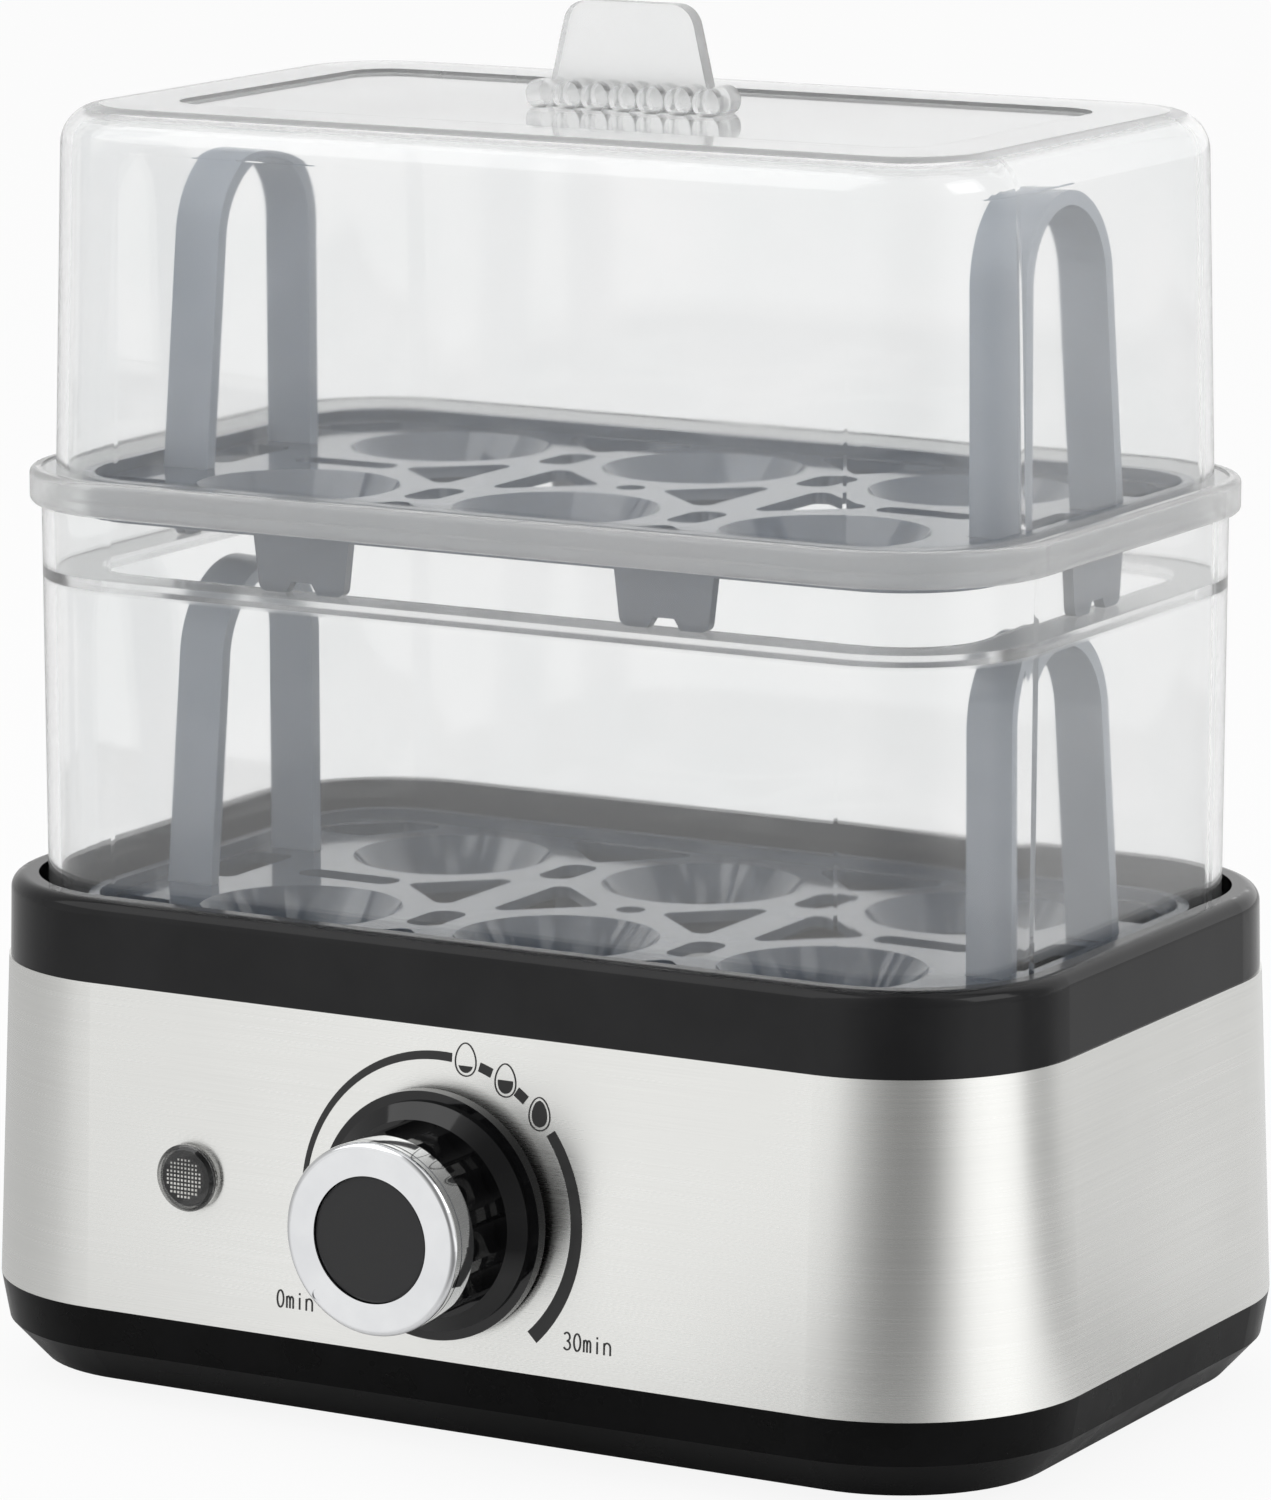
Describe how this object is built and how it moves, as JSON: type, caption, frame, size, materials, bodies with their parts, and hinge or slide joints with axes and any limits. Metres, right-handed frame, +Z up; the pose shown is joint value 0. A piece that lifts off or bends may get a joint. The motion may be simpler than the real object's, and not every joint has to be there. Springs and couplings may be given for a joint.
{
  "type": "egg cooker",
  "caption": "Electric egg cooker: steel-banded base with timer knob and lamp, water dish, stacked egg racks with lifting handles, clear steam tier and clear lid with a tab.",
  "frame": {"origin": "on the table, under the middle of the whole object's bounding box", "axes": "+Z up, +X to the right and -Y towards the user, as seen from the side with the knob"},
  "size_m": [0.21, 0.1592, 0.2425],
  "materials": {
    "clear_plastic": "polished, injection moulded",
    "rack_plastic": "polished, injection moulded",
    "black_gloss": "polished, injection moulded",
    "black_satin": "satin, injection moulded",
    "brushed_steel": "brushed along the band",
    "polished_steel": "pressed sheet, bright",
    "zinc_steel": "zinc plated",
    "chrome": "mirror plated",
    "rubber": "matte",
    "silicone": "matte",
    "heater_tube": "oxidised",
    "brass": "stamped",
    "white_plastic": "moulded",
    "lens": "polished",
    "lamp_glass": "clear",
    "brown_wire": "extruded",
    "blue_wire": "extruded",
    "red_wire": "extruded"
  },
  "bodies": {
    "base": {"base_pan": "black_gloss", "rubber_feet": "rubber", "steel_band": "brushed_steel", "top_ring": "black_gloss", "base_screws": "zinc_steel", "heating_plate": "polished_steel", "plate_gasket": "silicone", "heating_element": "heater_tube", "element_clamp": "zinc_steel", "clamp_nuts": "zinc_steel", "thermostat": "zinc_steel", "thermal_fuse": "white_plastic", "timer_plate": "zinc_steel", "timer_screws": "zinc_steel", "timer_case": "white_plastic", "timer_spring": "polished_steel", "timer_bell": "polished_steel", "timer_terminals": "brass", "lamp_lens": "lens", "lamp_washer": "zinc_steel", "lamp_plug": "black_satin", "neon_bulb": "lamp_glass", "cord_gland": "black_satin", "gland_nut": "black_satin", "terminal_block": "white_plastic", "live_wire": "brown_wire", "switched_wire": "red_wire", "neutral_wire": "blue_wire", "lamp_wires": "red_wire"},
    "knob": {"knob_body": "black_satin", "knob_ring": "chrome", "knob_cap": "black_satin", "timer_shaft": "zinc_steel", "timer_gear": "brass", "timer_cam": "white_plastic"},
    "arbor": {"timer_arbor": "brass"},
    "lower_tray": {"lower_rack": "rack_plastic", "lower_handle_left": "rack_plastic", "lower_handle_right": "rack_plastic"},
    "tier": {"steam_tier": "clear_plastic"},
    "upper_tray": {"upper_rack": "rack_plastic", "upper_handle_left": "rack_plastic", "upper_handle_right": "rack_plastic"},
    "cover": {"lid": "clear_plastic"}
  },
  "joints": [
    {"name": "knob_turn", "type": "hinge", "parent": "base", "child": "knob", "pos_m": [0, -0.05699, 0.0429], "axis": [0, 1, 0], "range_deg": [0, 272]},
    {"name": "arbor_turn", "type": "hinge", "parent": "base", "child": "arbor", "pos_m": [-0.01198, -0.04238, 0.03387], "axis": [0, 1, 0], "range_deg": [-1090, 0]},
    {"name": "lower_rack_lift", "type": "slide", "parent": "base", "child": "lower_tray", "axis": [0, 0, 1], "range_m": [0, 0.04]},
    {"name": "tier_lift", "type": "slide", "parent": "lower_tray", "child": "tier", "axis": [0, 0, 1], "range_m": [0, 0.08]},
    {"name": "upper_rack_lift", "type": "slide", "parent": "tier", "child": "upper_tray", "axis": [0, 0, 1], "range_m": [0, 0.04]},
    {"name": "lid_lift", "type": "slide", "parent": "upper_tray", "child": "cover", "axis": [0, 0, 1], "range_m": [0, 0.08]}
  ],
  "couplings": [
    {"joint": "arbor_turn", "follows": "knob_turn", "ratio": -4}
  ]
}
